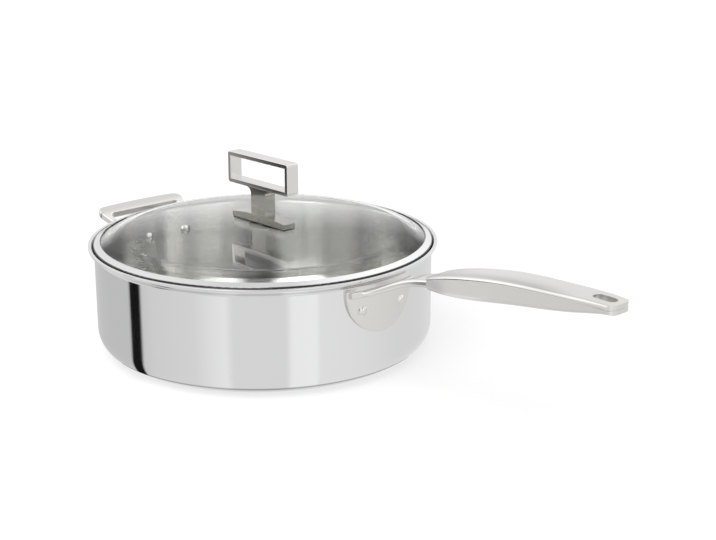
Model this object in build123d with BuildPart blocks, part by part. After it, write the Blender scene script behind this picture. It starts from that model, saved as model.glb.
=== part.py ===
from build123d import *

import os
from math import asin, cos, degrees, radians, sin, sqrt, tan

# A lidded saute pan, standing on its base. The origin is the middle of the base's
# underside, +Z is up and +X runs out along the long handle. All sizes are millimetres.

# Pan body: clad sheet in three bonded layers
inner_diameter = 280.0
outer_skin_thickness = 0.6
core_thickness = 1.6
liner_thickness = 0.5
pan_height = 91.3
corner_radius = 20.0
base_pad_height = 0.6
base_pad_inset = 2.0
rim_overhang = 4.9
rim_flare_angle = 50.0
rim_bend_radius = 2.0
rim_turn_radius = 0.5
rim_land_height = 0.5
rim_edge_radius = 0.4

# Rivets of both handles
rivet_distance = 41.5
rivet_drop = 26.0
rivet_shank_diameter = 6.0
rivet_hole_clearance = 0.05
outer_head_diameter = 8.4
outer_head_height = 1.5
inner_head_diameter = 9.8
inner_head_height = 2.6

# Plates that hold the handles to the wall
plate_thickness = 3.2
plate_half_width = 35.0
plate_top_drop = 8.5
plate_shoulder_height = 2.8
plate_edge_radius = 1.2

# Long handle bracket: a ledge under the rim and the neck that rises from it
ledge_height = 5.0
ledge_depth = 3.4
ledge_half_width = 33.0
ledge_edge_radius = 0.9
neck_root_width = 50.0
neck_root_thickness = 4.6
neck_root_drop = 11.0
neck_width = 24.0
neck_thickness = 6.5
neck_corner_radius = 2.2

# Long handle grip: two welded shells round a hollow, with a groove along the weld
neck_reach = 56.4
grip_length = 170.0
grip_start_rise = 13.9
grip_rise = 17.8
grip_widest = 33.0
grip_deepest = 19.5
grip_wall = 1.3
grip_top_corner = 2.6
grip_under_corner = 4.8
grip_tip_corner = 10.5
seam_drop = 3.0
seam_groove_height = 1.6
seam_groove_depth = 0.6

# Hanging eye: a slotted tube welded through both shells
eye_length = 19.0
eye_width = 9.5
eye_wall = 1.2
eye_margin = 4.5

# Helper handle: a squared loop opposite the long handle, a broad bar on two narrow arms
helper_stand_out = 39.9
helper_bow = 2.5
helper_half_width = 49.0
helper_bar_width = 12.5
helper_arm_width = 6.5
helper_thickness = 6.6
helper_outer_corner = 8.0
helper_inner_corner = 4.0
helper_root_half_width = 35.0
helper_root_drop = 14.3
helper_top_drop = 0.3
helper_edge_radius = 1.4

# Lid: a glass dome held in a folded steel band that drops inside the flared rim
lid_seat_clearance = 0.35
band_rim_gap = 1.7
band_wall_clearance = 0.4
band_lift = 0.6
band_slope = 25.0
band_sheet = 0.8
band_top_flange = 1.2
band_under_flange = 3.0
band_bead_radius = 1.4
band_foot_radius = 0.35
glass_thickness = 4.0
shoulder_inset = 8.8
shoulder_radius = 30.0
dome_radius = 1400.0

# Knob: a rectangular ring on a stem whose long foot lies on the glass
ring_length = 78.0
ring_height = 27.0
ring_band = 3.9
ring_depth = 12.0
ring_corner_radius = 2.4
ring_edge_radius = 0.6
foot_length = 68.0
foot_depth = 12.6
foot_middle_thickness = 6.8
foot_end_thickness = 4.2
foot_edge_radius = 0.6
stem_width = 18.0
stem_depth = 11.2
stem_height = 22.3
stem_flare = 6.0

# Fixing of the knob: gaskets above and below the glass, washer and screw
top_gasket_thickness = 0.8
top_gasket_inset = 0.7
low_gasket_diameter = 25.0
low_gasket_thickness = 1.0
glass_bore = 9.0
sleeve_clearance = 0.3
gasket_clearance = 0.2
washer_diameter = 21.0
washer_thickness = 1.2
screw_diameter = 5.0
screw_bite = 14.0
screw_clearance = 0.05
screw_head_diameter = 10.0
screw_head_height = 2.6
screw_head_edge = 0.8
socket_width = 3.0
socket_depth = 1.6

# One overrun serves every cut
overrun = 5.0

# Shares of the sizes above
fillet_room_share = 0.45
under_side_share = 0.74
neck_station_shares = (0.0, 0.2, 0.45, 0.72, 1.0)
neck_width_shares = (1.0, 0.5, 0.16, 0.03, 0.0)
neck_rise_shares = (0.0, 0.2, 0.56, 0.84, 1.0)
grip_station_shares = (0.0, 0.12, 0.27, 0.45, 0.625, 0.8, 0.92, 1.0)
grip_rise_shares = (0.0, 0.335, 0.62, 0.84, 0.935, 0.99, 1.0, 0.96)
grip_width_shares = (0.845, 0.955, 1.0, 0.985, 0.94, 0.89, 0.86, 0.83)
grip_depth_shares = (0.6, 0.88, 1.0, 0.97, 0.86, 0.68, 0.48, 0.36)

os.makedirs("parts", exist_ok=True)

# Wall and rim, worked out from the layers
wall_thickness = outer_skin_thickness + core_thickness + liner_thickness
inner_radius = inner_diameter / 2
wall_radius = inner_radius + wall_thickness
corner_centre = wall_radius - corner_radius
corner_height = base_pad_height + corner_radius
rim_radius = wall_radius + rim_overhang
tilt = radians(rim_flare_angle)
turn_radius = wall_thickness + rim_turn_radius
both_bends = rim_bend_radius + turn_radius
slope_length = (rim_overhang - both_bends + both_bends * cos(tilt)) / sin(tilt)
turn_centre = (rim_radius - turn_radius, pan_height - rim_land_height)
flare_start = turn_centre[1] - both_bends * sin(tilt) - slope_length * cos(tilt)
bend_centre = (wall_radius + rim_bend_radius, flare_start)


def draw_wall_line(depth):
    """Draws the wall's line from the axis to the rim, at a depth under its outer face."""
    floor = base_pad_height + depth
    Line((0, floor), (corner_centre, floor))
    CenterArc((corner_centre, corner_height), corner_radius - depth, -90, 90)
    Line((wall_radius - depth, corner_height), (wall_radius - depth, flare_start))
    bend = CenterArc(bend_centre, rim_bend_radius + depth, 180, -rim_flare_angle)
    turn = CenterArc(turn_centre, turn_radius - depth, -rim_flare_angle, rim_flare_angle)
    Line(bend @ 1, turn @ 0)
    Line(turn @ 1, (rim_radius - depth, pan_height))


def layer_profile(outer_depth, inner_depth):
    """The half section of one layer of the clad sheet, between two depths."""
    with BuildSketch(Plane.XZ) as profile:
        with BuildLine():
            draw_wall_line(outer_depth)
            draw_wall_line(inner_depth)
            Line((rim_radius - outer_depth, pan_height), (rim_radius - inner_depth, pan_height))
            Line((0, base_pad_height + outer_depth), (0, base_pad_height + inner_depth))
        make_face()
    return profile.sketch


def out_of_wall(angle, radius, height):
    """A plane that faces straight out of the wall, at an angle round the pan."""
    turn = radians(angle)
    outward = Vector(cos(turn), sin(turn), 0)
    sideways = Vector(-sin(turn), cos(turn), 0)
    return Plane(origin=outward * radius + Vector(0, 0, height), x_dir=sideways, z_dir=outward)


# Rivet places, shared by the wall, the plates and the rivets
plate_radius = wall_radius + plate_thickness
rivet_height = pan_height - rivet_drop
rivet_half_angle = degrees(rivet_distance / 2 / wall_radius)
long_rivet_angles = (-rivet_half_angle, rivet_half_angle)
helper_rivet_angles = (180 - rivet_half_angle, 180 + rivet_half_angle)


def rivet_holes(angles):
    """Round cutters that pass through the wall and the plate on it."""
    with BuildPart() as cutters:
        for angle in angles:
            with BuildSketch(out_of_wall(angle, inner_radius - overrun, rivet_height)):
                Circle(rivet_shank_diameter / 2 + rivet_hole_clearance)
            extrude(amount=wall_thickness + plate_thickness + overrun + overrun)
    return cutters.part


all_rivet_holes = rivet_holes(long_rivet_angles + helper_rivet_angles)

# Outer skin, with the pressed pad that the pan stands on
with BuildPart() as pan_outer_skin:
    revolve(layer_profile(0, outer_skin_thickness), axis=Axis.Z)
    rim_edge = pan_outer_skin.edges().group_by(Axis.Z)[-1].sort_by(SortBy.LENGTH)[-1]
    fillet(rim_edge, min(rim_edge_radius, outer_skin_thickness * fillet_room_share))
    with BuildSketch(Plane.XY):
        Circle(corner_centre - base_pad_inset)
    extrude(amount=base_pad_height)
    pad_edge = pan_outer_skin.edges().group_by(Axis.Z)[0]
    fillet(pad_edge, base_pad_height * fillet_room_share)
    add(all_rivet_holes, mode=Mode.SUBTRACT)

# Aluminium core
with BuildPart() as pan_core:
    revolve(layer_profile(outer_skin_thickness, outer_skin_thickness + core_thickness), axis=Axis.Z)
    add(all_rivet_holes, mode=Mode.SUBTRACT)

# Inner liner
with BuildPart() as pan_inner_liner:
    revolve(layer_profile(outer_skin_thickness + core_thickness, wall_thickness), axis=Axis.Z)
    rim_edge = pan_inner_liner.edges().group_by(Axis.Z)[-1].sort_by(SortBy.LENGTH)[0]
    fillet(rim_edge, min(rim_edge_radius, liner_thickness * fillet_room_share))
    add(all_rivet_holes, mode=Mode.SUBTRACT)

# The space inside the outer face, which the handles are cut back from
with BuildPart() as pan_envelope:
    with BuildSketch(Plane.XZ):
        with BuildLine():
            draw_wall_line(0)
            Polyline((rim_radius, pan_height), (0, pan_height), (0, base_pad_height))
        make_face()
    revolve(axis=Axis.Z)

plate_top = pan_height - plate_top_drop
plate_round_height = plate_top - plate_shoulder_height


def wall_plate(side):
    """The D-shaped plate that hugs the wall, on the +X side (1) or the -X side (-1)."""
    with BuildPart() as plate:
        with BuildSketch(Plane.YZ):
            with Locations((0, plate_round_height)):
                Circle(plate_half_width)
                Rectangle(plate_half_width * 2, plate_half_width * 2, align=(Align.CENTER, Align.MIN),
                          mode=Mode.SUBTRACT)
                Rectangle(plate_half_width * 2, plate_shoulder_height, align=(Align.CENTER, Align.MIN))
        extrude(amount=side * (plate_radius + overrun))
        with BuildSketch(Plane.XY):
            Circle(plate_radius)
            Circle(wall_radius, mode=Mode.SUBTRACT)
        extrude(amount=plate_top, mode=Mode.INTERSECT)
        curved_faces = plate.faces().filter_by(GeomType.CYLINDER).sort_by(Axis.X)
        outer_face = curved_faces[-1] if side > 0 else curved_faces[0]
        fillet(outer_face.edges(), plate_edge_radius)
    return plate.part


# Long handle bracket: plate, ledge and neck in one casting
grip_start = rim_radius + neck_reach
handle_reach = grip_start + grip_length
grip_start_height = pan_height + grip_start_rise
neck_length = grip_start - plate_radius
neck_root_height = pan_height - neck_root_drop
neck_end_height = grip_start_height - grip_deepest * grip_depth_shares[0] / 2

with BuildPart() as long_handle_bracket:
    with BuildSketch(Plane.XY.offset(plate_top - ledge_height)):
        Circle(plate_radius + ledge_depth)
        Circle(wall_radius, mode=Mode.SUBTRACT)
        Rectangle(rim_radius * 2, ledge_half_width * 2, align=(Align.MIN, Align.CENTER), mode=Mode.INTERSECT)
    extrude(amount=ledge_height)
    ledge_face = long_handle_bracket.faces().filter_by(GeomType.CYLINDER).sort_by(Axis.X)[-1]
    fillet(ledge_face.edges(), ledge_edge_radius)
    add(wall_plate(1))
    for station, wide, rise in zip(neck_station_shares, neck_width_shares, neck_rise_shares):
        width = neck_width + (neck_root_width - neck_width) * wide
        thickness = neck_root_thickness + (neck_thickness - neck_root_thickness) * station
        with BuildSketch(Plane.YZ.offset(plate_radius + neck_length * station)):
            with Locations((0, neck_root_height + (neck_end_height - neck_root_height) * rise)):
                RectangleRounded(width, thickness, neck_corner_radius)
    loft()
    add(pan_envelope.part, mode=Mode.SUBTRACT)
    add(rivet_holes(long_rivet_angles), mode=Mode.SUBTRACT)


def grip_form(inset):
    """The grip's form, drawn in from its skin by an inset."""
    with BuildPart() as form:
        for station, rise, wide, deep in zip(
            grip_station_shares, grip_rise_shares, grip_width_shares, grip_depth_shares
        ):
            top = grip_start_height + grip_rise * rise - inset
            half_width = grip_widest * wide / 2 - inset
            depth = grip_deepest * deep - inset - inset
            under = half_width * under_side_share
            under_corner = min(grip_under_corner, grip_deepest * deep * fillet_room_share)
            place = grip_start + inset + (grip_length - inset - inset) * station
            with BuildSketch(Plane.YZ.offset(place)) as section:
                Polygon((-half_width, top), (half_width, top), (under, top - depth),
                        (-under, top - depth), align=None)
                fillet(section.vertices().group_by(Axis.Y)[-1], grip_top_corner - inset)
                fillet(section.vertices().group_by(Axis.Y)[0], under_corner - inset)
        loft()
        with BuildSketch(Plane.XY):
            with BuildLine():
                tip = handle_reach - inset
                side = grip_widest * grip_width_shares[-2] / 2 - inset
                corner = grip_tip_corner - inset
                Polyline((tip - corner, side), (tip - corner, grip_widest), (0, grip_widest),
                         (0, -grip_widest), (tip - corner, -grip_widest), (tip - corner, -side))
                CenterArc((tip - corner, corner - side), corner, -90, 90)
                Line((tip, corner - side), (tip, side - corner))
                CenterArc((tip - corner, side - corner), corner, 0, 90)
            make_face()
        extrude(amount=grip_start_height + grip_rise + overrun, mode=Mode.INTERSECT)
    return form.part


def seam_line(drop):
    """Draws the weld's line along the grip, at a drop under the top face."""
    points = [(grip_start + grip_length * station, grip_start_height + grip_rise * rise - drop)
              for station, rise in zip(grip_station_shares, grip_rise_shares)]
    return Spline(points)


grip_skin = grip_form(0)
grip_hollow = grip_form(grip_wall)
roof = grip_start_height + grip_rise + overrun

# Everything above the weld line, which parts the upper shell from the lower
with BuildPart() as above_seam:
    with BuildSketch(Plane.XZ):
        with BuildLine():
            weld = seam_line(seam_drop)
            Polyline(weld @ 1, (handle_reach + overrun, (weld @ 1).Y), (handle_reach + overrun, roof),
                     (grip_start - overrun, roof), (grip_start - overrun, (weld @ 0).Y), weld @ 0)
        make_face()
    extrude(amount=grip_widest, both=True)

# The shallow groove that runs round the grip along the weld
with BuildPart() as seam_groove:
    add(grip_skin)
    add(grip_form(seam_groove_depth), mode=Mode.SUBTRACT)
    with BuildSketch(Plane.XZ):
        with BuildLine():
            high = seam_line(seam_drop - seam_groove_height / 2)
            low = seam_line(seam_drop + seam_groove_height / 2)
            Line(high @ 0, low @ 0)
            Line(high @ 1, low @ 1)
        make_face()
    extrude(amount=grip_widest, both=True, mode=Mode.INTERSECT)

eye_centre = handle_reach - eye_margin - eye_length / 2


def eye_post(growth):
    """An upright post of the eye's outline, grown outward, that passes through the grip."""
    with BuildPart() as post:
        with BuildSketch(Plane.XY):
            with Locations((eye_centre, 0)):
                SlotOverall(eye_length + growth + growth, eye_width + growth + growth)
        extrude(amount=roof)
    return post.part


with BuildPart() as grip_upper_shell:
    add(grip_skin)
    add(grip_hollow, mode=Mode.SUBTRACT)
    add(above_seam.part, mode=Mode.INTERSECT)
    add(seam_groove.part, mode=Mode.SUBTRACT)
    add(eye_post(eye_wall), mode=Mode.SUBTRACT)

with BuildPart() as grip_lower_shell:
    add(grip_skin)
    add(grip_hollow, mode=Mode.SUBTRACT)
    add(above_seam.part, mode=Mode.SUBTRACT)
    add(seam_groove.part, mode=Mode.SUBTRACT)
    add(eye_post(eye_wall), mode=Mode.SUBTRACT)

with BuildPart() as hanging_eye:
    add(eye_post(eye_wall))
    add(eye_post(0), mode=Mode.SUBTRACT)
    add(grip_skin, mode=Mode.INTERSECT)

# Helper handle: the loop's plan, bent up to its height, on the plate that carries it
helper_root_top = pan_height - helper_root_drop
helper_top_height = pan_height - helper_top_drop
helper_reach = rim_radius + helper_stand_out
helper_side_reach = helper_reach - helper_bow
helper_inner_reach = helper_reach - helper_bar_width
helper_splay = (helper_half_width - helper_root_half_width) / (helper_side_reach - plate_radius)
helper_root_gap = helper_root_half_width - helper_arm_width
helper_inner_half = helper_root_gap + helper_splay * (helper_inner_reach - plate_radius)

with BuildPart() as helper_handle:
    with BuildSketch(Plane.XY) as loop_plan:
        with BuildLine():
            arms = Polyline((-helper_side_reach, helper_half_width), (-plate_radius, helper_root_half_width),
                            (-corner_centre, helper_root_half_width),
                            (-corner_centre, -helper_root_half_width),
                            (-plate_radius, -helper_root_half_width),
                            (-helper_side_reach, -helper_half_width))
            ThreePointArc(arms @ 1, (-helper_reach, 0), arms @ 0)
        make_face()
        fillet(loop_plan.vertices().group_by(Axis.X)[0], helper_outer_corner)
        with BuildSketch(Plane.XY, mode=Mode.SUBTRACT) as loop_gap:
            Polygon((-corner_centre, helper_root_gap), (-plate_radius, helper_root_gap),
                    (-helper_inner_reach, helper_inner_half), (-helper_inner_reach, -helper_inner_half),
                    (-plate_radius, -helper_root_gap), (-corner_centre, -helper_root_gap), align=None)
            fillet(loop_gap.vertices().group_by(Axis.X)[0], helper_inner_corner)
    extrude(amount=helper_top_height + overrun)
    with BuildSketch(Plane.XZ):
        with BuildLine():
            level = Vector(-1, 0)
            root = Vector(-rim_radius, helper_root_top)
            crest = Vector(-helper_reach - overrun, helper_top_height)
            inward = Vector(rim_radius - corner_centre, 0)
            down = Vector(0, -helper_thickness)
            Spline(root, crest, tangents=(level, level))
            Spline(root + down, crest + down, tangents=(level, level))
            Line(crest, crest + down)
            Polyline(root, root + inward, root + inward + down, root + down)
        make_face()
    extrude(amount=helper_half_width + overrun, both=True, mode=Mode.INTERSECT)
    long_edges = helper_handle.edges().filter_by(Axis.Z, reverse=True).group_by(Axis.X)[:-1]
    fillet([edge for group in long_edges for edge in group], helper_edge_radius)
    add(wall_plate(-1))
    add(pan_envelope.part, mode=Mode.SUBTRACT)
    add(rivet_holes(helper_rivet_angles), mode=Mode.SUBTRACT)

# Rivet: a shank with a domed head inside the wall and a low dome on the plate
inner_head_radius = inner_head_diameter / 2
outer_head_radius = outer_head_diameter / 2
rivet_seat = sqrt(inner_radius ** 2 - inner_head_radius ** 2)
rivet_grip = plate_radius - rivet_seat


def cap_radius(radius, height):
    """The radius of the sphere that a domed cap is cut from."""
    return (radius ** 2 + height ** 2) / (height + height)


with BuildPart() as rivet_form:
    with BuildSketch(Plane.XZ):
        with BuildLine():
            inner_cap = cap_radius(inner_head_radius, inner_head_height)
            outer_cap = cap_radius(outer_head_radius, outer_head_height)
            inner_turn = degrees(asin(inner_head_radius / inner_cap))
            outer_turn = degrees(asin(outer_head_radius / outer_cap))
            CenterArc((0, inner_cap - inner_head_height), inner_cap, -90, inner_turn)
            Polyline((inner_head_radius, 0), (rivet_shank_diameter / 2, 0),
                     (rivet_shank_diameter / 2, rivet_grip), (outer_head_radius, rivet_grip))
            CenterArc((0, rivet_grip + outer_head_height - outer_cap), outer_cap, 90 - outer_turn, outer_turn)
            Line((0, rivet_grip + outer_head_height), (0, -inner_head_height))
        make_face()
    revolve(axis=Axis.Z)

with BuildPart() as long_handle_rivets:
    with Locations([out_of_wall(angle, rivet_seat, rivet_height) for angle in long_rivet_angles]):
        add(rivet_form.part)

with BuildPart() as helper_handle_rivets:
    with Locations([out_of_wall(angle, rivet_seat, rivet_height) for angle in helper_rivet_angles]):
        add(rivet_form.part)

# Lid band: its foot rests on the inside of the rim's slope
seat_bend = rim_bend_radius + wall_thickness
seat_start_r = bend_centre[0] - seat_bend * cos(tilt)
seat_start_z = bend_centre[1] + seat_bend * sin(tilt)
band_radius = rim_radius - wall_thickness - band_rim_gap
foot_centre_r = band_radius - band_foot_radius
foot_stand_off = (band_foot_radius + lid_seat_clearance) / sin(tilt)
foot_centre_z = seat_start_z + (foot_centre_r - seat_start_r) / tan(tilt) + foot_stand_off
band_bottom = foot_centre_z - band_foot_radius
skirt_radius = inner_radius - band_wall_clearance
glass_radius = skirt_radius - band_sheet
slope = radians(band_slope)


def cone_point(radius, depth):
    """A point of the lid's sloping edge, at a depth under the glass's top face."""
    rise = (band_radius - radius) * sin(slope) - depth - band_sheet
    return (radius, pan_height + band_lift + rise / cos(slope))


with BuildPart() as lid_rim_band:
    with BuildSketch(Plane.XZ) as band_section:
        hem_radius = band_radius - band_sheet
        top_flange_radius = glass_radius - band_top_flange
        under_flange_radius = glass_radius - band_under_flange
        under_depth = glass_thickness + band_sheet
        Polygon(cone_point(top_flange_radius, 0), cone_point(top_flange_radius, -band_sheet),
                cone_point(band_radius, -band_sheet), (band_radius, band_bottom), (hem_radius, band_bottom),
                cone_point(hem_radius, 0), cone_point(skirt_radius, 0), cone_point(skirt_radius, under_depth),
                cone_point(under_flange_radius, under_depth),
                cone_point(under_flange_radius, glass_thickness),
                cone_point(glass_radius, glass_thickness), cone_point(glass_radius, 0), align=None)
        drop_sides = band_section.vertices().group_by(Axis.X)[-2:]
        fillet([side.sort_by(Axis.Y)[0] for side in drop_sides], band_foot_radius)
        fillet(band_section.vertices().group_by(Axis.X)[-1].sort_by(Axis.Y)[-1], band_bead_radius)
    revolve(axis=Axis.Z)

# Glass: a shallow dome that turns down through a shoulder to the slope under the band
shoulder_start_radius = glass_radius - shoulder_inset
dome_turn = asin((shoulder_start_radius - shoulder_radius * sin(slope)) / (dome_radius - shoulder_radius))
shoulder_centre_r = (dome_radius - shoulder_radius) * sin(dome_turn)
shoulder_centre_z = cone_point(shoulder_start_radius, 0)[1] - shoulder_radius * cos(slope)
dome_centre = shoulder_centre_z - (dome_radius - shoulder_radius) * cos(dome_turn)
apex = dome_centre + dome_radius
bore_radius = glass_bore / 2


def dome_point(radius, depth):
    """A point of the dome's half section, at a depth under its top face."""
    return (radius, dome_centre + sqrt((dome_radius - depth) ** 2 - radius ** 2))


def draw_dome(start, end, depth):
    """Draws the dome's arc between two radii, at a depth under its top face."""
    middle = (start + end) / 2
    return ThreePointArc(dome_point(start, depth), dome_point(middle, depth), dome_point(end, depth))


def draw_glass_face(depth):
    """Draws one face of the glass from the bore to the edge, at a depth under its top face."""
    dome = draw_dome(bore_radius, (dome_radius - depth) * sin(dome_turn), depth)
    shoulder = CenterArc((shoulder_centre_r, shoulder_centre_z), shoulder_radius - depth,
                         90 - degrees(dome_turn), degrees(dome_turn) - band_slope)
    edge = Line(shoulder @ 1, cone_point(glass_radius, depth))
    return dome @ 0, edge @ 1


with BuildPart() as lid_glass:
    with BuildSketch(Plane.XZ):
        with BuildLine():
            top_start, top_end = draw_glass_face(0)
            under_start, under_end = draw_glass_face(glass_thickness)
            Line(top_start, under_start)
            Line(top_end, under_end)
        make_face()
    revolve(axis=Axis.Z)

# Knob stem with its long arched foot
foot_bottom = apex + top_gasket_thickness
foot_top = foot_bottom + foot_middle_thickness
ring_bottom = foot_top + stem_height
screw_radius = screw_diameter / 2
screw_hole_radius = screw_radius + screw_clearance

with BuildPart() as knob_stem:
    with BuildSketch(Plane.XZ):
        with BuildLine():
            foot_arc = ThreePointArc((-foot_length / 2, foot_bottom + foot_end_thickness), (0, foot_top),
                                     (foot_length / 2, foot_bottom + foot_end_thickness))
            Polyline(foot_arc @ 1, (foot_length / 2, foot_bottom), (-foot_length / 2, foot_bottom),
                     foot_arc @ 0)
        make_face()
    extrude(amount=foot_depth / 2, both=True)
    fillet(knob_stem.edges().filter_by(Axis.Z), foot_edge_radius)
    with BuildSketch(Plane.XZ):
        with BuildLine():
            half = stem_width / 2
            Polyline((half, ring_bottom - stem_flare), (half, foot_bottom), (-half, foot_bottom),
                     (-half, ring_bottom - stem_flare))
            CenterArc((half + stem_flare, ring_bottom - stem_flare), stem_flare, 90, 90)
            CenterArc((-half - stem_flare, ring_bottom - stem_flare), stem_flare, 0, 90)
            Line((-half - stem_flare, ring_bottom), (half + stem_flare, ring_bottom))
        make_face()
    extrude(amount=stem_depth / 2, both=True)
    with BuildSketch(Plane.XY.offset(foot_bottom)):
        Circle(screw_hole_radius)
    extrude(amount=screw_bite + screw_diameter, mode=Mode.SUBTRACT)

# Knob ring: flat bar bent into a rectangle
with BuildPart() as knob_ring:
    with BuildSketch(Plane.XZ.offset(-ring_depth / 2)):
        with Locations((0, ring_bottom + ring_height / 2)):
            RectangleRounded(ring_length, ring_height, ring_corner_radius)
            Rectangle(ring_length - ring_band * 2, ring_height - ring_band * 2, mode=Mode.SUBTRACT)
    extrude(amount=ring_depth)
    fillet(knob_ring.faces().filter_by(Axis.Y).edges(), ring_edge_radius)

# Gasket between the foot and the glass
with BuildPart() as knob_top_gasket:
    with BuildSketch(Plane.XZ):
        with BuildLine():
            arc = draw_dome(screw_hole_radius, foot_length / 2, 0)
            Polyline(arc @ 1, (foot_length / 2, foot_bottom), (screw_hole_radius, foot_bottom), arc @ 0)
        make_face()
    revolve(axis=Axis.Z)
    with BuildSketch(Plane.XY.offset(foot_bottom)):
        Rectangle(foot_length, foot_depth)
        offset(amount=-top_gasket_inset, kind=Kind.INTERSECTION, mode=Mode.REPLACE)
    extrude(amount=-overrun, mode=Mode.INTERSECT)

# Gasket under the glass, with a sleeve that lines the bore
gasket_depth = glass_thickness + gasket_clearance
gasket_bottom = apex - gasket_depth - low_gasket_thickness
with BuildPart() as knob_low_gasket:
    with BuildSketch(Plane.XZ):
        with BuildLine():
            arc = draw_dome(bore_radius, low_gasket_diameter / 2, gasket_depth)
            sleeve_radius = bore_radius - sleeve_clearance
            Polyline(arc @ 0, (sleeve_radius, (arc @ 0).Y), (sleeve_radius, apex - sleeve_clearance),
                     (screw_hole_radius, apex - sleeve_clearance), (screw_hole_radius, gasket_bottom),
                     (low_gasket_diameter / 2, gasket_bottom), arc @ 1)
        make_face()
    revolve(axis=Axis.Z)

# Steel washer
washer_bottom = gasket_bottom - washer_thickness
with BuildPart() as knob_washer:
    with BuildSketch(Plane.XY.offset(washer_bottom)):
        Circle(washer_diameter / 2)
        Circle(screw_hole_radius, mode=Mode.SUBTRACT)
    extrude(amount=washer_thickness)

# Screw with a hexagon socket, driven up into the stem
with BuildPart() as knob_screw:
    with BuildSketch(Plane.XY.offset(washer_bottom - screw_head_height)):
        Circle(screw_head_diameter / 2)
    extrude(amount=screw_head_height)
    fillet(knob_screw.edges().group_by(Axis.Z)[0], screw_head_edge)
    with BuildSketch(Plane.XY.offset(washer_bottom - screw_head_height)):
        RegularPolygon(socket_width / 2, 6, major_radius=False)
    extrude(amount=socket_depth, mode=Mode.SUBTRACT)
    with BuildSketch(Plane.XY.offset(washer_bottom)):
        Circle(screw_radius)
    extrude(amount=foot_bottom + screw_bite - washer_bottom)

pieces = {
    "pan_outer_skin": pan_outer_skin,
    "pan_core": pan_core,
    "pan_inner_liner": pan_inner_liner,
    "long_handle_bracket": long_handle_bracket,
    "grip_upper_shell": grip_upper_shell,
    "grip_lower_shell": grip_lower_shell,
    "hanging_eye": hanging_eye,
    "long_handle_rivets": long_handle_rivets,
    "helper_handle": helper_handle,
    "helper_handle_rivets": helper_handle_rivets,
    "lid_rim_band": lid_rim_band,
    "lid_glass": lid_glass,
    "knob_ring": knob_ring,
    "knob_stem": knob_stem,
    "knob_top_gasket": knob_top_gasket,
    "knob_low_gasket": knob_low_gasket,
    "knob_washer": knob_washer,
    "knob_screw": knob_screw,
}

for name, piece in pieces.items():
    piece.part.label = name
    export_step(piece.part, f"parts/{name}.step")
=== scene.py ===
from math import atan2, cos, degrees, pi, radians, sin

import bmesh
import bpy
from mathutils import Matrix, Vector


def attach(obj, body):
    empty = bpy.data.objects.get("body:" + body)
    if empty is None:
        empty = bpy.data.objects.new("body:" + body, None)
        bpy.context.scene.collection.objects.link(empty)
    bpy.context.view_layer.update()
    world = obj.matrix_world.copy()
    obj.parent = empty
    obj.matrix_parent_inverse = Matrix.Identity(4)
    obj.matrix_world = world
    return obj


bl_info = {
    "name": "Saute pan with lid",
    "version": (1, 0, 0),
    "blender": (4, 5, 0),
    "location": "3D View > Sidebar > Pan",
    "description": "Gives a lidded saute pan its finishes and small pieces, and sets it in a plain studio",
    "category": "Object",
}

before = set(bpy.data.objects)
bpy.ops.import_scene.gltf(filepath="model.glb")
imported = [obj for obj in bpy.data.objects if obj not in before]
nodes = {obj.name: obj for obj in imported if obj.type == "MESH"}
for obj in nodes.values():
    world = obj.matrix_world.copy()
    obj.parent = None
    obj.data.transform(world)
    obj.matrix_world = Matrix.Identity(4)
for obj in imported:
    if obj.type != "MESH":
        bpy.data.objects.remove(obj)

# Radii of the straight inner and outer walls, in metres
inner_wall_radius = 0.14
outer_wall_radius = 0.1427

# The round corner at the outer wall's foot: its radius, and how high its lowest point stands
corner_radius = 0.02
corner_low = 0.0006

# Steel lower than this is the turned face under the base
underside_height = 0.0004

# Where steel lies in the narrow gap round the lid and is coloured dark as painted shade: (inner radius, outer
# radius, width of the soft edges)
liner_painted_gap_shade = (0.1404, 0.1443, 0.0003)
band_painted_gap_shade = (0.1427, 0.2, 0.0004)

# Scale of the brushed grain along X, Y and Z
grain_along_x = (0.03, 1.0, 1.0)
grain_along_y = (1.0, 0.03, 1.0)
grain_all_ways = (0.7, 0.7, 0.7)

# Brightness of the dark and the light lines in brushed steel
dark_line = 0.96
light_line = 1.03

# Roughness of each finish, from its glossiest places to its dullest
mirror_gloss = (0.035, 0.075)
underside_gloss = (0.22, 0.4)
turned_gloss = (0.17, 0.24)
brushed_gloss = (0.15, 0.23)
ring_gloss = (0.08, 0.14)
cast_gloss = (0.07, 0.12)
tumbled_gloss = (0.05, 0.1)
core_gloss = (0.28, 0.45)
gasket_gloss = (0.6, 0.85)

# The sheen painted into the colour of the turned inside runs across the pan along this heading, out to this
# share of its radius
sheen_heading = radians(50.5)
sheen_limit = 1.1

# The painted sheen by place: (place across the pan in shares of its radius, brightness)
sheen_bands = (
    (-1.06, 1.22),
    (-0.834, 0.92),
    (-0.732, 0.88),
    (-0.7, 0.4),
    (-0.665, 0.36),
    (-0.645, 0.6),
    (-0.628, 0.84),
    (-0.58, 0.84),
    (-0.5, 0.67),
    (-0.427, 0.82),
    (-0.325, 0.87),
    (-0.223, 0.97),
    (-0.172, 0.66),
    (-0.115, 0.33),
    (-0.04, 0.3),
    (0.032, 0.38),
    (0.083, 0.72),
    (0.127, 1.18),
    (0.19, 1.26),
    (0.25, 1.27),
    (0.31, 1.22),
    (0.37, 1.04),
    (0.425, 0.7),
    (0.554, 0.76),
    (0.643, 0.48),
    (0.694, 0.86),
    (0.745, 1.24),
    (0.82, 1.12),
    (0.87, 1.2),
    (0.92, 1.27),
    (1.0, 1.27),
)

# The grip's half width, and where along it the painted shade, a dark streak on its top, starts to fade and
# where it has gone
grip_half_width = 0.0165
grip_painted_shade_fades = 0.31
grip_painted_shade_gone = 0.345
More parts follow.
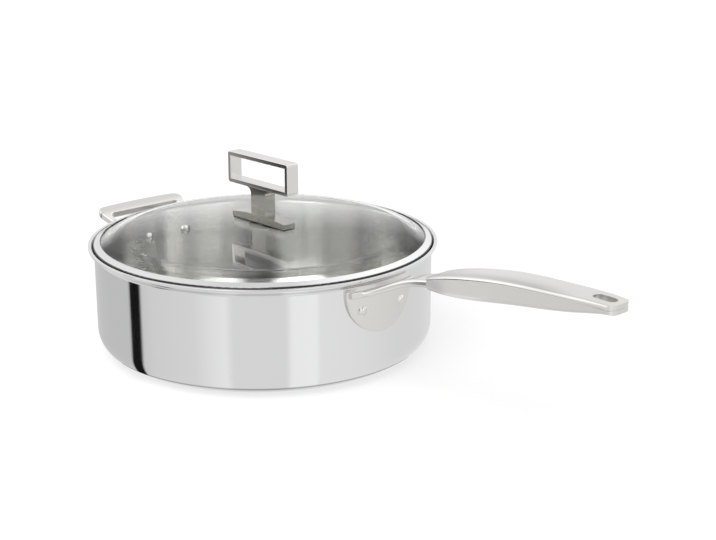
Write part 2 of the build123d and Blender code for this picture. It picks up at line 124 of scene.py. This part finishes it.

# The grip's painted shade, a dark streak, by place: (place across the grip in metres, brightness)
grip_painted_shade_bands = (
    (-0.0165, 1.0),
    (-0.0145, 0.92),
    (-0.012, 0.66),
    (-0.009, 0.72),
    (-0.003, 0.92),
    (0.004, 1.0),
    (0.0165, 1.0),
)

# The low panels and the dark flag that the wall mirrors: (direction round the pan in degrees, brightness)
low_bands = (
    (-180.0, 0.66),
    (-142.5, 0.69),
    (-141.0, 0.01),
    (-131.5, 0.01),
    (-130.0, 0.76),
    (-120.0, 0.83),
    (-88.0, 0.88),
    (-75.0, 1.0),
    (-66.0, 1.05),
    (-61.0, 0.9),
    (-26.0, 0.9),
    (-22.0, 1.1),
    (-5.0, 1.12),
    (-3.0, 1.0),
    (30.0, 0.96),
    (60.0, 0.88),
    (110.0, 0.85),
    (150.0, 0.66),
    (180.0, 0.66),
)

# The lamps overhead and the gaps between them, which show inside the pan, in the same terms
high_bands = (
    (-180.0, 1.2),
    (-160.0, 1.4),
    (-148.0, 1.5),
    (-136.0, 1.8),
    (-127.0, 1.4),
    (-120.0, 0.85),
    (-112.0, 0.9),
    (-95.0, 1.0),
    (-82.0, 1.8),
    (-66.0, 2.1),
    (-56.0, 1.8),
    (-48.0, 0.6),
    (-24.0, 0.55),
    (-15.0, 1.3),
    (12.0, 1.15),
    (21.0, 1.15),
    (23.0, 1.4),
    (39.0, 1.4),
    (41.5, 0.8),
    (52.0, 1.05),
    (75.0, 1.35),
    (105.0, 1.5),
    (125.0, 1.0),
    (160.0, 0.95),
    (180.0, 1.2),
)

# All bands are dimmed by height, which is a direction's upward share from -1 to 1: (height, brightness)
surround_heights = (
    (-1.0, 0.5),
    (-0.94, 0.62),
    (-0.86, 0.92),
    (-0.5, 1.0),
    (-0.3, 1.0),
    (0.3, 1.0),
    (0.8, 0.95),
    (1.0, 0.9),
)

# The heights between which the plain ground gives way to the low panels, and these to the lamps overhead
ground_to_panels = (-0.48, -0.4)
panels_to_lamps = (-0.05, 0.05)
ground_brightness = 0.9

# The lid's glass mirrors a bright horizon and, over these heights, a darker ceiling
horizon_to_ceiling = (0.16, 0.29)
horizon_brightness = 1.0
ceiling_brightness = 0.3

# What the inside mirrors has passed the lid's glass twice, so the surround is this much brighter there
inside_gain = 1.6

# Limits for the counts of what a ray has met: any mirror, and more faces of glass than on its way in
any_mirror = 0.5
glass_on_way_in = 2.5

# The floor's grey where it lights the pan, and where it is seen, with a glow there that makes it white
floor_lit_grey = 0.8
floor_seen_grey = 0.45
floor_glow = 0.6

# The sheet on the floor: its height, the stretch of wall that it serves and in how many steps, the tilts of
# the wall's round corner that mirror it, how far a place must face the camera, and its far edge's brightness,
# dimmed as painted shade where the corner's lowest part mirrors it
sheet_height = 0.0003
sheet_start = radians(-124.5)
sheet_sweep = radians(170.0)
sheet_steps = 340
sheet_tilts = tuple(radians(tilt) for tilt in (0.0, 5.0, 10.0, 15.0, 20.0, 25.0, 30.0, 36.0, 44.0))
sheet_least_facing = 0.05
sheet_painted_shade_brightness = 0.25

# How the soft lamp is turned
key_lamp_turn = (radians(35.0), 0.0, radians(10.0))


class PanMarkSettings(bpy.types.PropertyGroup):
    """Sizes of the volume marks on the inner wall."""

    wall_radius: bpy.props.FloatProperty(
        name="Wall radius",
        description="Radius of the inner wall that carries the marks",
        default=inner_wall_radius,
        unit="LENGTH",
    )
    angle: bpy.props.FloatProperty(
        name="Angle",
        description="Place of the marks round the pan",
        default=radians(191.5),
        unit="ROTATION",
    )
    height: bpy.props.FloatProperty(
        name="Height", description="Height of the lowest mark", default=0.028, unit="LENGTH"
    )
    step: bpy.props.FloatProperty(
        name="Step", description="Height between one numeral and the next", default=0.012, unit="LENGTH"
    )
    count: bpy.props.IntProperty(
        name="Count", description="Number of marks with a numeral", default=4, min=1
    )
    tick_length: bpy.props.FloatProperty(
        name="Tick length", description="Length of the long marks", default=0.009, unit="LENGTH"
    )
    line: bpy.props.FloatProperty(
        name="Line", description="Thickness of each mark's line", default=0.0009, unit="LENGTH"
    )
    numeral_height: bpy.props.FloatProperty(
        name="Numeral height", description="Height of the numerals", default=0.0065, unit="LENGTH"
    )
    stand_off: bpy.props.FloatProperty(
        name="Stand-off",
        description="How far the marks stand off the wall's facets",
        default=0.00015,
        unit="LENGTH",
    )


class PanFinishSettings(bpy.types.PropertyGroup):
    """Colours of the finishes."""

    polished: bpy.props.FloatVectorProperty(
        name="Polished steel",
        description="Colour of the polished steel",
        default=(0.72, 0.72, 0.725),
        subtype="COLOR",
    )
    brushed: bpy.props.FloatVectorProperty(
        name="Brushed steel",
        description="Colour of the brushed steel",
        default=(0.69, 0.68, 0.66),
        subtype="COLOR",
    )
    turned: bpy.props.FloatVectorProperty(
        name="Turned steel",
        description="Colour of the steel inside the pan",
        default=(0.78, 0.772, 0.752),
        subtype="COLOR",
    )
    cast: bpy.props.FloatVectorProperty(
        name="Cast steel",
        description="Colour of the knob's cast stem",
        default=(0.42, 0.415, 0.385),
        subtype="COLOR",
    )
    # This colour is painted shade, for steel that lies in the narrow gap round the lid
    gap: bpy.props.FloatVectorProperty(
        name="Gap",
        description="Colour of steel in the narrow gap round the lid",
        default=(0.06, 0.058, 0.054),
        subtype="COLOR",
    )
    aluminium: bpy.props.FloatVectorProperty(
        name="Aluminium",
        description="Colour of the core's cut edge",
        default=(0.74, 0.74, 0.75),
        subtype="COLOR",
    )
    glass: bpy.props.FloatVectorProperty(
        name="Glass", description="Tint of the lid's glass", default=(0.97, 0.985, 0.975), subtype="COLOR"
    )
    rubber: bpy.props.FloatVectorProperty(
        name="Gasket", description="Colour of the gaskets", default=(0.03, 0.03, 0.032), subtype="COLOR"
    )
    etching: bpy.props.FloatVectorProperty(
        name="Etching", description="Colour of the etched marks", default=(0.85, 0.85, 0.83), subtype="COLOR"
    )


class PanStudioSettings(bpy.types.PropertyGroup):
    """The camera, the floor and the light."""

    camera_place: bpy.props.FloatVectorProperty(
        name="Camera place",
        description="Where the camera stands",
        default=(0.92744, -0.76379, 0.42913),
        subtype="XYZ",
    )
    camera_pitch: bpy.props.FloatProperty(
        name="Camera pitch",
        description="How far the camera looks down",
        default=radians(17.0),
        unit="ROTATION",
    )
    camera_heading: bpy.props.FloatProperty(
        name="Camera heading",
        description="The camera's turn about the vertical",
        default=radians(46.7),
        unit="ROTATION",
    )
    camera_lens: bpy.props.FloatProperty(
        name="Lens", description="Focal length for a 36 mm wide sensor", default=73.55
    )
    floor_radius: bpy.props.FloatProperty(
        name="Floor radius", description="Radius of the round floor", default=12.0, unit="LENGTH"
    )
    ambient: bpy.props.FloatProperty(
        name="Ambient", description="Light of the surround on dull surfaces", default=0.68
    )
    key_strength: bpy.props.FloatProperty(
        name="Key strength", description="Strength of the soft lamp", default=1.3
    )
    key_spread: bpy.props.FloatProperty(
        name="Key spread",
        description="Angle that the soft lamp fills",
        default=radians(55.0),
        unit="ROTATION",
    )


def add_node(tree, kind, inputs=None, **properties):
    """Adds a shader node, sets its properties, and fills or links its inputs."""
    node = tree.nodes.new(kind)
    for key, value in properties.items():
        setattr(node, key, value)
    for key, value in (inputs or {}).items():
        if isinstance(value, bpy.types.NodeSocket):
            tree.links.new(value, node.inputs[key])
        else:
            node.inputs[key].default_value = value
    return node


def split_axes(tree, vector):
    """The X, Y and Z of a vector."""
    axes = add_node(tree, "ShaderNodeSeparateXYZ", {"Vector": vector}).outputs
    return axes["X"], axes["Y"], axes["Z"]


def calculate(tree, operation, first, second):
    """The result of one step of arithmetic."""
    return add_node(tree, "ShaderNodeMath", {0: first, 1: second}, operation=operation).outputs["Value"]


def map_range(tree, value, start, end, low=0.0, high=1.0):
    """Goes from low to high as a value goes from start to end, and stays there outside them."""
    inputs = {"Value": value, "From Min": start, "From Max": end, "To Min": low, "To Max": high}
    return add_node(tree, "ShaderNodeMapRange", inputs).outputs["Result"]


def mix_values(tree, factor, under, over):
    """Mixes two values."""
    inputs = {"Factor": factor, "A": under, "B": over}
    return add_node(tree, "ShaderNodeMix", inputs).outputs["Result"]


def mix_colours(tree, factor, under, over, blend="MIX"):
    """Mixes two colours."""
    inputs = {"Factor": factor, "A": under, "B": over}
    return add_node(tree, "ShaderNodeMix", inputs, data_type="RGBA", blend_type=blend).outputs["Result"]


def multiply_colours(tree, first, second):
    """Dims one colour by another."""
    return mix_colours(tree, 1.0, first, second, "MULTIPLY")


def grey(brightness):
    """A grey, as a colour socket takes it."""
    return brightness, brightness, brightness, 1.0


def shade(colour, share=1.0):
    """A colour made darker or lighter by a share, as a colour socket takes it."""
    return (*(channel * share for channel in colour), 1.0)


def add_noise(tree, vector, scale, detail, distortion=0.0):
    """A noise pattern."""
    inputs = {"Vector": vector, "Scale": scale, "Detail": detail, "Distortion": distortion}
    return add_node(tree, "ShaderNodeTexNoise", inputs).outputs["Fac"]


def add_bands(tree, share, low, high, stops):
    """Greys from (place, brightness) stops, where a share of 0 is the place low and a share of 1 is high."""
    node = add_node(tree, "ShaderNodeValToRGB", {"Fac": share})
    elements = node.color_ramp.elements
    elements.remove(elements[-1])
    for index, (place, brightness) in enumerate(stops):
        position = (place - low) / (high - low)
        element = elements[0] if index == 0 else elements.new(position)
        element.position = position
        element.color = grey(brightness)
    return node.outputs["Color"]


def reach_from_axis(tree, coordinates):
    """Distance from the vertical axis through the middle of the pan."""
    x, y, _ = split_axes(tree, coordinates)
    flat = add_node(tree, "ShaderNodeCombineXYZ", {"X": x, "Y": y}).outputs["Vector"]
    return add_node(tree, "ShaderNodeVectorMath", {0: flat}, operation="LENGTH").outputs["Value"]


def ring_pattern(tree, coordinates, inner, outer, edge):
    """A pattern that is 1 between two distances from the axis and fades out over an edge on both sides."""
    reach = reach_from_axis(tree, coordinates)
    rise = map_range(tree, reach, inner - edge, inner)
    fall = map_range(tree, reach, outer, outer + edge, 1.0, 0.0)
    return calculate(tree, "MULTIPLY", rise, fall)


def brush_lines(tree, coordinates, stretch, scale):
    """A noise pattern drawn out into fine lines by a stretch along X, Y and Z."""
    mapping = add_node(tree, "ShaderNodeMapping", {"Vector": coordinates, "Scale": stretch})
    return add_noise(tree, mapping.outputs["Vector"], scale, detail=3.0)


def turned_lines(tree, coordinates, scale, drift):
    """A noise pattern drawn out into rings round the vertical axis, which drift a little on their way."""
    x, _, z = split_axes(tree, coordinates)
    reach = reach_from_axis(tree, coordinates)
    sweep = calculate(tree, "MULTIPLY", x, drift)
    rings = add_node(tree, "ShaderNodeCombineXYZ", {"X": reach, "Y": z, "Z": sweep})
    return add_noise(tree, rings.outputs["Vector"], scale, detail=3.0)


def painted_sheen_across(tree, coordinates):
    """The painted sheen inside the pan: soft upright light and dark streaks of painted reflection, by their
    place across it.
    """
    shares = (cos(sheen_heading) / inner_wall_radius, sin(sheen_heading) / inner_wall_radius, 0.0)
    across = add_node(tree, "ShaderNodeVectorMath", {0: coordinates, 1: shares}, operation="DOT_PRODUCT")
    share = map_range(tree, across.outputs["Value"], -sheen_limit, sheen_limit)
    return add_bands(tree, share, -sheen_limit, sheen_limit, sheen_bands)


def painted_shade_on_grip(tree, coordinates):
    """Painted shade: a soft dark streak along one edge of the grip's top, which fades towards the grip's end.
    """
    x, y, _ = split_axes(tree, coordinates)
    share = map_range(tree, y, -grip_half_width, grip_half_width)
    streak = add_bands(tree, share, -grip_half_width, grip_half_width, grip_painted_shade_bands)
    has_painted_shade = map_range(tree, x, grip_painted_shade_gone, grip_painted_shade_fades)
    return mix_colours(tree, has_painted_shade, grey(1.0), streak)


def start_finish(name, colour, metallic):
    """A new material of one colour. Returns it with its tree, its shader and its coordinates."""
    material = bpy.data.materials.new(name)
    material.use_nodes = True
    tree = material.node_tree
    shader = tree.nodes["Principled BSDF"]
    shader.inputs["Base Color"].default_value = shade(colour)
    shader.inputs["Metallic"].default_value = metallic
    coordinates = add_node(tree, "ShaderNodeTexCoord").outputs["Object"]
    return material, tree, shader, coordinates


def vary_colour(tree, shader, pattern, under, over):
    """Drives the base colour from one colour to another by a pattern."""
    tree.links.new(mix_colours(tree, pattern, under, over), shader.inputs["Base Color"])


def vary_roughness(tree, shader, pattern, gloss):
    """Drives the roughness through a finish's range by a pattern."""
    tree.links.new(map_range(tree, pattern, 0.0, 1.0, *gloss), shader.inputs["Roughness"])


def add_relief(tree, shader, pattern, height):
    """Raises a pattern on the surface."""
    bump = add_node(tree, "ShaderNodeBump", {"Height": pattern, "Distance": height, "Strength": 1.0})
    tree.links.new(bump.outputs["Normal"], shader.inputs["Normal"])


def make_polished_steel(finish, name, gap=None):
    """Mirror polish with faint smudges, turned under the base, and coloured dark as painted shade where it
    lies in a gap.
    """
    material, tree, shader, coordinates = start_finish(name, finish.polished, metallic=1.0)
    if gap:
        # Painted shade: steel in the gap round the lid is coloured dark
        is_in_gap_shade = ring_pattern(tree, coordinates, *gap)
        vary_colour(tree, shader, is_in_gap_shade, shade(finish.polished), shade(finish.gap))
    smudges = add_noise(tree, coordinates, scale=26.0, detail=4.0, distortion=0.4)
    rings = turned_lines(tree, coordinates, scale=900.0, drift=0.02)
    ripple = add_noise(tree, coordinates, scale=8.0, detail=1.0)
    polish = map_range(tree, smudges, 0.0, 1.0, *mirror_gloss)
    turning = map_range(tree, rings, 0.0, 1.0, *underside_gloss)
    _, _, height = split_axes(tree, coordinates)
    is_under = calculate(tree, "LESS_THAN", height, underside_height)
    tree.links.new(mix_values(tree, is_under, polish, turning), shader.inputs["Roughness"])
    add_relief(tree, shader, ripple, height=0.00006)
    return material


def make_turned_steel(finish):
    """Steel brushed round the pan's axis, as it comes off the polishing wheel, with a sheen of light and dark
    streaks painted into its colour.
    """
    material, tree, shader, coordinates = start_finish("turned_steel", finish.turned, metallic=1.0)
    rings = turned_lines(tree, coordinates, scale=1400.0, drift=0.03)
    wide_rings = turned_lines(tree, coordinates, scale=160.0, drift=0.05)
    vary_roughness(tree, shader, wide_rings, turned_gloss)
    lines = mix_colours(tree, rings, shade(finish.turned, dark_line), shade(finish.turned, light_line))
    # Painted sheen: reflections painted into the colour as light and dark streaks by place
    steel = multiply_colours(tree, lines, painted_sheen_across(tree, coordinates))
    # Painted shade: steel in the gap round the lid is coloured dark
    is_in_gap_shade = ring_pattern(tree, coordinates, *liner_painted_gap_shade)
    vary_colour(tree, shader, is_in_gap_shade, steel, shade(finish.gap))
    add_relief(tree, shader, rings, height=0.0000006)
    shader.inputs["Anisotropic"].default_value = 0.9
    shader.inputs["Anisotropic Rotation"].default_value = 0.25
    tangent = add_node(tree, "ShaderNodeTangent", direction_type="RADIAL", axis="Z")
    tree.links.new(tangent.outputs["Tangent"], shader.inputs["Tangent"])
    return material


def make_brushed_steel(colour, name, stretch, gloss, add_painted_shade=None):
    """Steel brushed along one direction, with soft patches where hands have rubbed it."""
    material, tree, shader, coordinates = start_finish(name, colour, metallic=1.0)
    lines = brush_lines(tree, coordinates, stretch, scale=1500.0)
    patches = add_noise(tree, coordinates, scale=45.0, detail=2.0)
    vary_roughness(tree, shader, mix_values(tree, 0.5, lines, patches), gloss)
    steel = mix_colours(tree, lines, shade(colour, dark_line), shade(colour, light_line))
    # A painted shade, where one is given, darkens the colour
    if add_painted_shade:
        steel = multiply_colours(tree, steel, add_painted_shade(tree, coordinates))
    tree.links.new(steel, shader.inputs["Base Color"])
    add_relief(tree, shader, lines, height=0.0000008)
    return material


def make_aluminium(finish):
    """The core's bare cut edge."""
    material, tree, shader, coordinates = start_finish("core_aluminium", finish.aluminium, metallic=1.0)
    vary_roughness(tree, shader, turned_lines(tree, coordinates, scale=1200.0, drift=0.03), core_gloss)
    return material


def make_glass(finish):
    """Clear pressed glass with a trace of unevenness."""
    material, tree, shader, coordinates = start_finish("clear_glass", finish.glass, metallic=0.0)
    shader.inputs["Roughness"].default_value = 0.0
    shader.inputs["Transmission Weight"].default_value = 1.0
    shader.inputs["IOR"].default_value = 1.46
    add_relief(tree, shader, add_noise(tree, coordinates, scale=14.0, detail=1.0), height=0.00003)
    return material


def make_rubber(finish):
    """Matt moulded gasket."""
    material, tree, shader, coordinates = start_finish("gasket_rubber", finish.rubber, metallic=0.0)
    grain = add_noise(tree, coordinates, scale=2200.0, detail=2.0)
    vary_roughness(tree, shader, grain, gasket_gloss)
    add_relief(tree, shader, grain, height=0.00002)
    return material


def make_etching(finish):
    """The pale, slightly grainy grey of a mark etched in steel."""
    material, tree, shader, coordinates = start_finish("etched_mark", finish.etching, metallic=0.2)
    shader.inputs["Roughness"].default_value = 0.6
    grain = add_noise(tree, coordinates, scale=3000.0, detail=2.0)
    vary_colour(tree, shader, grain, shade(finish.etching, 0.8), shade(finish.etching, 1.1))
    return material


def dress(node_name, material):
    """Puts a finish on a CAD node in place of its plain one."""
    for slot in nodes[node_name].material_slots:
        slot.material = material


def add_mesh(name, bm, material):
    """Turns a finished bmesh into an object of the scene, with its finish."""
    mesh = bpy.data.meshes.new(name)
    bm.to_mesh(mesh)
    bm.free()
    mesh.materials.append(material)
    made = bpy.data.objects.new(name, mesh)
    bpy.context.scene.collection.objects.link(made)
    return made


class PAN_OT_finish_body(bpy.types.Operator):
    """Polish the outside, turn the inside and bare the core's edge"""

    bl_idname = "pan.finish_body"
    bl_label = "Finish the body"

    def execute(self, context):
        finish = context.scene.pan_finish
        dress("pan_outer_skin", make_polished_steel(finish, "polished_steel"))
        dress("pan_core", make_aluminium(finish))
        dress("pan_inner_liner", make_turned_steel(finish))
        return {"FINISHED"}


class PAN_OT_finish_handles(bpy.types.Operator):
    """Brush both handles along their length, and tumble their rivets"""

    bl_idname = "pan.finish_handles"
    bl_label = "Finish the handles"

    def execute(self, context):
        steel = context.scene.pan_finish.brushed
        along = make_brushed_steel(steel, "steel_brushed_along", grain_along_x, brushed_gloss)
        # The grip's top carries a dark streak of painted shade
        grip = make_brushed_steel(steel, "steel_brushed_grip", grain_along_x, brushed_gloss, painted_shade_on_grip)
        across = make_brushed_steel(steel, "steel_brushed_across", grain_along_y, brushed_gloss)
        tumbled = make_brushed_steel(steel, "steel_tumbled", grain_all_ways, tumbled_gloss)
        for name in ("long_handle_bracket", "grip_lower_shell", "hanging_eye"):
            dress(name, along)
        dress("grip_upper_shell", grip)
        dress("helper_handle", across)
        dress("long_handle_rivets", tumbled)
        dress("helper_handle_rivets", tumbled)
        return {"FINISHED"}


class PAN_OT_finish_lid(bpy.types.Operator):
    """Clear the glass, polish its band, brush the knob and darken the gaskets"""

    bl_idname = "pan.finish_lid"
    bl_label = "Finish the lid"

    def execute(self, context):
        finish = context.scene.pan_finish
        dress("lid_glass", make_glass(finish))
        # The band is coloured dark as painted shade where it lies in the gap round the lid
        dress("lid_rim_band", make_polished_steel(finish, "polished_band", band_painted_gap_shade))
        ring = make_brushed_steel(finish.brushed, "steel_brushed_ring", grain_along_x, ring_gloss)
        dress("knob_ring", ring)
        cast = make_brushed_steel(finish.cast, "steel_cast_stem", grain_all_ways, cast_gloss)
        for name in ("knob_stem", "knob_washer", "knob_screw"):
            dress(name, cast)
        rubber = make_rubber(finish)
        dress("knob_top_gasket", rubber)
        dress("knob_low_gasket", rubber)
        return {"FINISHED"}


def draw_marks(bm, marks):
    """Draws long marks and half marks flat, with X sideways and Y up."""
    for half_step in range(marks.count * 2 - 1):
        is_long = half_step % 2 == 0
        length = marks.tick_length if is_long else marks.tick_length / 2
        place = Matrix.Translation((length / 2, marks.height + marks.step * half_step / 2, 0))
        size = Matrix.Diagonal((length, marks.line, 1.0, 1.0))
        bmesh.ops.create_grid(bm, x_segments=4, y_segments=1, size=0.5, matrix=place @ size)


def draw_numerals(bm, marks):
    """Draws a plain numeral beside each long mark, flat in the same way."""
    for number in range(marks.count):
        curve = bpy.data.curves.new("numeral", "FONT")
        curve.body = str(number + 1)
        curve.size = marks.numeral_height
        curve.align_x = "CENTER"
        curve.align_y = "CENTER"
        numeral = bpy.data.objects.new("numeral", curve)
        mesh = bpy.data.meshes.new_from_object(numeral)
        sideways = marks.tick_length + marks.numeral_height / 2
        mesh.transform(Matrix.Translation((sideways, marks.height + marks.step * number, 0)))
        bm.from_mesh(mesh)
        bpy.data.objects.remove(numeral)


def wrap_on_wall(bm, radius, angle):
    """Bends a flat drawing, with X sideways and Y up, onto the inside of the round wall."""
    for vertex in bm.verts:
        turn = angle + vertex.co.x / radius
        reach = radius - vertex.co.z
        vertex.co = Vector((reach * cos(turn), reach * sin(turn), vertex.co.y))


class PAN_OT_make_marks(bpy.types.Operator):
    """Etch the volume marks on the inner wall"""

    bl_idname = "pan.make_marks"
    bl_label = "Make the volume marks"

    def execute(self, context):
        marks = context.scene.pan_marks
        bm = bmesh.new()
        draw_marks(bm, marks)
        draw_numerals(bm, marks)
        bmesh.ops.translate(bm, verts=bm.verts, vec=(0, 0, marks.stand_off))
        wrap_on_wall(bm, marks.wall_radius, marks.angle)
        bmesh.ops.recalc_face_normals(bm, faces=bm.faces)
        piece = add_mesh("volume_marks", bm, make_etching(context.scene.pan_finish))
        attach(piece, "pan")
        return {"FINISHED"}


class PAN_OT_make_studio(bpy.types.Operator):
    """Set the camera, the pale floor, the surround and the soft lamp"""

    bl_idname = "pan.make_studio"
    bl_label = "Make the studio"

    def execute(self, context):
        studio = context.scene.pan_studio
        make_camera(studio)
        make_floor(studio)
        make_surround(studio)
        make_wall_foot_sheet(studio)
        make_key_lamp(studio)
        context.scene.view_settings.view_transform = "Standard"
        return {"FINISHED"}


def make_camera(studio):
    """The camera at the photograph's viewing angle."""
    data = bpy.data.cameras.new("camera")
    data.lens = studio.camera_lens
    data.clip_end = studio.floor_radius * 3
    camera = bpy.data.objects.new("camera", data)
    camera.location = studio.camera_place
    camera.rotation_euler = (pi / 2 - studio.camera_pitch, 0, studio.camera_heading)
    bpy.context.scene.collection.objects.link(camera)
    bpy.context.scene.camera = camera


def seen_directly(tree):
    """1 for what the camera sees, itself or through the glass, and 0 for the rest."""
    path = add_node(tree, "ShaderNodeLightPath").outputs
    return calculate(tree, "MAXIMUM", path["Is Camera Ray"], path["Is Transmission Ray"])


def make_floor(studio):
    """A pale round floor that keeps the pan's shadow."""
    material = bpy.data.materials.new("pale_floor")
    material.use_nodes = True
    tree = material.node_tree
    shader = tree.nodes["Principled BSDF"]
    shader.inputs["Roughness"].default_value = 0.9
    shader.inputs["Specular IOR Level"].default_value = 0.0
    shader.inputs["Emission Color"].default_value = grey(1.0)
    is_seen = seen_directly(tree)
    vary_colour(tree, shader, is_seen, grey(floor_lit_grey), grey(floor_seen_grey))
    tree.links.new(calculate(tree, "MULTIPLY", is_seen, floor_glow), shader.inputs["Emission Strength"])
    bm = bmesh.new()
    bmesh.ops.create_circle(bm, cap_ends=True, segments=96, radius=studio.floor_radius)
    floor = add_mesh("floor", bm, material)
    floor.visible_glossy = False


def add_panels(tree, direction):
    """The panels, the dark flag and the lamps of the surround, which metal mirrors."""
    x, y, z = split_axes(tree, direction)
    round_share = map_range(tree, calculate(tree, "ARCTAN2", y, x), -pi, pi)
    low = add_bands(tree, round_share, -180.0, 180.0, low_bands)
    high = add_bands(tree, round_share, -180.0, 180.0, high_bands)
    is_over_ground = map_range(tree, z, *ground_to_panels)
    over_ground = mix_colours(tree, is_over_ground, grey(ground_brightness), low)
    bands = mix_colours(tree, map_range(tree, z, *panels_to_lamps), over_ground, high)
    height_share = map_range(tree, z, -1.0, 1.0)
    return multiply_colours(tree, bands, add_bands(tree, height_share, -1.0, 1.0, surround_heights))


def make_surround(studio):
    """A white world that metal sees as panels with one dark flag, and dull surfaces as even light."""
    world = bpy.data.worlds.new("surround")
    world.use_nodes = True
    world.cycles.sampling_method = "NONE"
    bpy.context.scene.world = world
    tree = world.node_tree
    direction = add_node(tree, "ShaderNodeTexCoord").outputs["Generated"]
    _, _, z = split_axes(tree, direction)
    path = add_node(tree, "ShaderNodeLightPath").outputs
    is_mirrored = calculate(tree, "GREATER_THAN", path["Glossy Depth"], any_mirror)
    is_outside = calculate(tree, "LESS_THAN", path["Transmission Depth"], glass_on_way_in)
    is_on_glass = calculate(tree, "MULTIPLY", path["Is Singular Ray"], is_outside)
    gain = map_range(tree, is_outside, 0.0, 1.0, inside_gain, 1.0)
    on_metal = multiply_colours(tree, add_panels(tree, direction), gain)
    on_glass = map_range(tree, z, *horizon_to_ceiling, horizon_brightness, ceiling_brightness)
    mirrored = mix_colours(tree, is_on_glass, on_metal, on_glass)
    plain = mix_colours(tree, seen_directly(tree), grey(studio.ambient), grey(1.0))
    light = mix_colours(tree, is_mirrored, plain, mirrored)
    tree.links.new(light, tree.nodes["Background"].inputs["Color"])


def mirror_at_corner(camera_place, wall_turn, tilt):
    """What one place on the wall's round corner mirrors to the camera.

    Returns the point of the sheet, or none where the place faces away, and the direction in degrees.
    """
    out = Vector((cos(wall_turn), sin(wall_turn), 0.0))
    height = corner_low + corner_radius * (1 - sin(tilt))
    reach = outer_wall_radius - corner_radius * (1 - cos(tilt))
    place = out * reach + Vector((0.0, 0.0, height))
    normal = out * cos(tilt) - Vector((0.0, 0.0, sin(tilt)))
    sight = (place - camera_place).normalized()
    facing = -sight.dot(normal)
    mirrored = sight + normal * (2 * facing)
    is_seen = facing > sheet_least_facing
    point = place + mirrored * ((sheet_height - height) / mirrored.z) if is_seen else None
    return point, degrees(atan2(mirrored.y, mirrored.x))


def make_wall_foot_bands():
    """The finish of the sheet on the floor, which glows with the low bands by its UV map, dimmed as painted
    shade towards the edge that the corner's lowest part mirrors.
    """
    material = bpy.data.materials.new("wall_foot_bands")
    material.use_nodes = True
    tree = material.node_tree
    u, v, _ = split_axes(tree, add_node(tree, "ShaderNodeTexCoord").outputs["UV"])
    shader = tree.nodes["Principled BSDF"]
    shader.inputs["Base Color"].default_value = grey(0.0)
    shader.inputs["Specular IOR Level"].default_value = 0.0
    tree.links.new(add_bands(tree, u, -180.0, 180.0, low_bands), shader.inputs["Emission Color"])
    # Painted shade: the glow dims towards the edge that the corner's lowest part mirrors
    fade = map_range(tree, v, 0.0, 1.0, sheet_painted_shade_brightness, 1.0)
    tree.links.new(fade, shader.inputs["Emission Strength"])
    return material


def make_wall_foot_sheet(studio):
    """A sheet on the floor that only metal mirrors, which carries the low bands on to the wall's foot."""
    camera_place = Vector(studio.camera_place)
    turns = [sheet_start + sheet_sweep * step / sheet_steps for step in range(sheet_steps + 1)]
    bands = [mirror_at_corner(camera_place, turn, 0.0)[1] for turn in turns]
    last_row = len(sheet_tilts) - 1
    bm = bmesh.new()
    uv_layer = bm.loops.layers.uv.new("bands")
    bmesh.ops.create_grid(bm, x_segments=sheet_steps, y_segments=last_row, size=0.5)
    spots = {
        vertex: (round((vertex.co.x + 0.5) * sheet_steps), round((vertex.co.y + 0.5) * last_row))
        for vertex in bm.verts
    }
    for face in bm.faces:
        first_band = bands[min(spots[vertex][0] for vertex in face.verts)]
        for loop in face.loops:
            step, row = spots[loop.vert]
            is_wrapped = abs(bands[step] - first_band) > 180.0
            band = first_band if is_wrapped else bands[step]
            loop[uv_layer].uv = ((band + 180.0) / 360.0, 0.0 if row == last_row else 1.0)
    hidden = []
    for vertex, (step, row) in spots.items():
        point, _ = mirror_at_corner(camera_place, turns[step], sheet_tilts[row])
        if point:
            vertex.co = point
        else:
            hidden.append(vertex)
    bmesh.ops.delete(bm, geom=hidden, context="VERTS")
    sheet = add_mesh("wall_foot_sheet", bm, make_wall_foot_bands())
    sheet.visible_camera = False
    sheet.visible_diffuse = False
    sheet.visible_transmission = False
    sheet.visible_shadow = False


def make_key_lamp(studio):
    """One broad soft lamp from above, which metal and glass don't mirror."""
    data = bpy.data.lights.new("key_lamp", "SUN")
    data.energy = studio.key_strength
    data.angle = studio.key_spread
    lamp = bpy.data.objects.new("key_lamp", data)
    lamp.rotation_euler = key_lamp_turn
    lamp.visible_glossy = False
    lamp.visible_transmission = False
    bpy.context.scene.collection.objects.link(lamp)


class PAN_PT_panel(bpy.types.Panel):
    """Lists the steps and the settings of the pan"""

    bl_idname = "PAN_PT_panel"
    bl_label = "Saute pan"
    bl_space_type = "VIEW_3D"
    bl_region_type = "UI"
    bl_category = "Pan"

    def draw(self, context):
        layout = self.layout
        for operator in operators:
            layout.operator(operator.bl_idname)
        for group in (context.scene.pan_marks, context.scene.pan_finish, context.scene.pan_studio):
            for name in group.__annotations__:
                layout.prop(group, name)


operators = (
    PAN_OT_finish_body,
    PAN_OT_finish_handles,
    PAN_OT_finish_lid,
    PAN_OT_make_marks,
    PAN_OT_make_studio,
)
settings = {
    "pan_marks": PanMarkSettings,
    "pan_finish": PanFinishSettings,
    "pan_studio": PanStudioSettings,
}


def register():
    """Registers the settings, the operators and the panel."""
    for name, group in settings.items():
        bpy.utils.register_class(group)
        setattr(bpy.types.Scene, name, bpy.props.PointerProperty(type=group))
    for operator in (*operators, PAN_PT_panel):
        bpy.utils.register_class(operator)


def unregister():
    """Takes away what register added."""
    for operator in reversed((*operators, PAN_PT_panel)):
        bpy.utils.unregister_class(operator)
    for name, group in settings.items():
        delattr(bpy.types.Scene, name)
        bpy.utils.unregister_class(group)


def main():
    """Builds the whole scene."""
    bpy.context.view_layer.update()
    register()
    bpy.ops.pan.finish_body()
    bpy.ops.pan.finish_handles()
    bpy.ops.pan.finish_lid()
    bpy.ops.pan.make_marks()
    bpy.ops.pan.make_studio()


if __name__ == "__main__":
    main()
